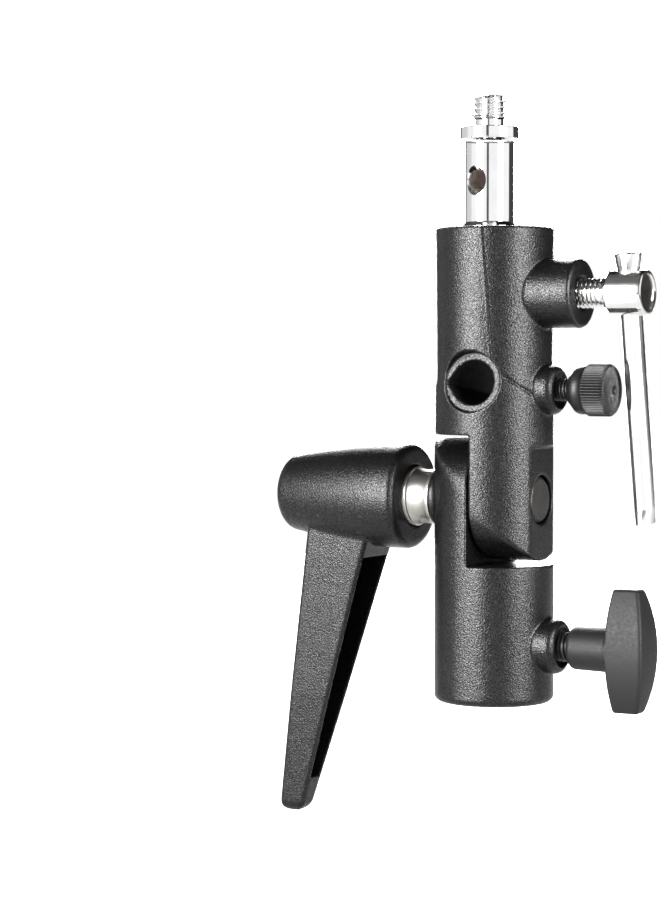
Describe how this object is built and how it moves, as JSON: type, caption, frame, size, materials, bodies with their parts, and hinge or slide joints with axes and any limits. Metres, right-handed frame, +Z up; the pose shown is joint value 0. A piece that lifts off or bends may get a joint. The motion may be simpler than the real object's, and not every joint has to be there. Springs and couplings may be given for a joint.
{
  "type": "umbrella swivel bracket",
  "caption": "Tilting umbrella bracket for a light stand, with a ratchet clamp lever, a wing knob, a T-screw, a thumb screw and a removable threaded spigot.",
  "frame": {"origin": "centre of the stand socket's mouth, on the bottom face of the lower body", "axes": "+Z up out of the stand socket's floor towards the spigot, +X along the tilt axis towards the screw knobs, so the clamp lever is at -X and the umbrella hole's raised mouth faces -Y"},
  "size_m": [0.1129, 0.0326, 0.2012],
  "materials": {
    "casting": "black textured powder coat on cast aluminium",
    "plated": "polished",
    "steel": "machined",
    "plastic": "satin",
    "brass": "turned"
  },
  "bodies": {
    "lower": {"lower_body": "casting", "friction_disc": "steel"},
    "upper": {"upper_body": "casting", "pivot_bolt": "steel"},
    "spigot": {"spigot": "plated"},
    "washer": {"seat_washer": "steel"},
    "nut": {"clamp_nut": "plated", "retaining_screw": "steel", "retaining_washer": "steel", "lever_spring": "steel"},
    "lever": {"lever_handle": "casting"},
    "wing_pad": {"wing_tip": "brass"},
    "wing": {"wing_knob": "plastic", "wing_screw": "steel"},
    "t_pad": {"t_tip": "brass"},
    "t_handle": {"t_screw": "plated"},
    "t_bar": {"t_bar": "plated"},
    "thumb_pad": {"thumb_tip": "brass"},
    "thumb": {"thumb_knob": "plastic", "thumb_screw": "steel"}
  },
  "joints": [
    {"name": "tilt", "type": "hinge", "parent": "lower", "child": "upper", "pos_m": [0, 0, 0.0555], "axis": [1, 0, 0], "range_deg": [-90, 90]},
    {"name": "spigot_lift", "type": "slide", "parent": "upper", "child": "spigot", "axis": [0, 0, 1], "range_m": [0, 0.032]},
    {"name": "clamp_travel", "type": "slide", "parent": "lower", "child": "washer", "axis": [-1, 0, 0], "range_m": [0, 0.000625]},
    {"name": "clamp_turn", "type": "hinge", "parent": "washer", "child": "nut", "pos_m": [-0.02, 0, 0.0555], "axis": [-1, 0, 0], "range_deg": [0, 181]},
    {"name": "lever_pull", "type": "slide", "parent": "nut", "child": "lever", "axis": [-1, 0, 0], "range_m": [0, 0.0045], "stiffness_N_per_m": 300, "springref_m": -0.01, "deforming": ["lever_spring"]},
    {"name": "wing_travel", "type": "slide", "parent": "lower", "child": "wing_pad", "axis": [1, 0, 0], "range_m": [-0.0025, 0.005]},
    {"name": "wing_turn", "type": "hinge", "parent": "wing_pad", "child": "wing", "pos_m": [0.04, 0, 0.0159], "axis": [1, 0, 0], "range_deg": [-725, 1445]},
    {"name": "t_travel", "type": "slide", "parent": "upper", "child": "t_pad", "axis": [1, 0, 0], "range_m": [0, 0.005]},
    {"name": "t_turn", "type": "hinge", "parent": "t_pad", "child": "t_handle", "pos_m": [0.0398, 0, 0.1112], "axis": [1, 0, 0], "range_deg": [0, 1445]},
    {"name": "t_bar_slide", "type": "slide", "parent": "t_handle", "child": "t_bar", "axis": [0, -0.1771, 0.9842], "range_m": [0, 0.052]},
    {"name": "thumb_travel", "type": "slide", "parent": "upper", "child": "thumb_pad", "axis": [1, 0, 0], "range_m": [-0.0025, 0.001]},
    {"name": "thumb_turn", "type": "hinge", "parent": "thumb_pad", "child": "thumb", "pos_m": [0.03, 0, 0.0853], "axis": [1, 0, 0], "range_deg": [-905, 365]}
  ],
  "couplings": [
    {"joint": "clamp_turn", "follows": "clamp_travel", "rad_per_m": 5026.5},
    {"joint": "wing_turn", "follows": "wing_travel", "rad_per_m": 5026.5},
    {"joint": "t_turn", "follows": "t_travel", "rad_per_m": 5026.5},
    {"joint": "thumb_turn", "follows": "thumb_travel", "rad_per_m": 6283.2}
  ]
}
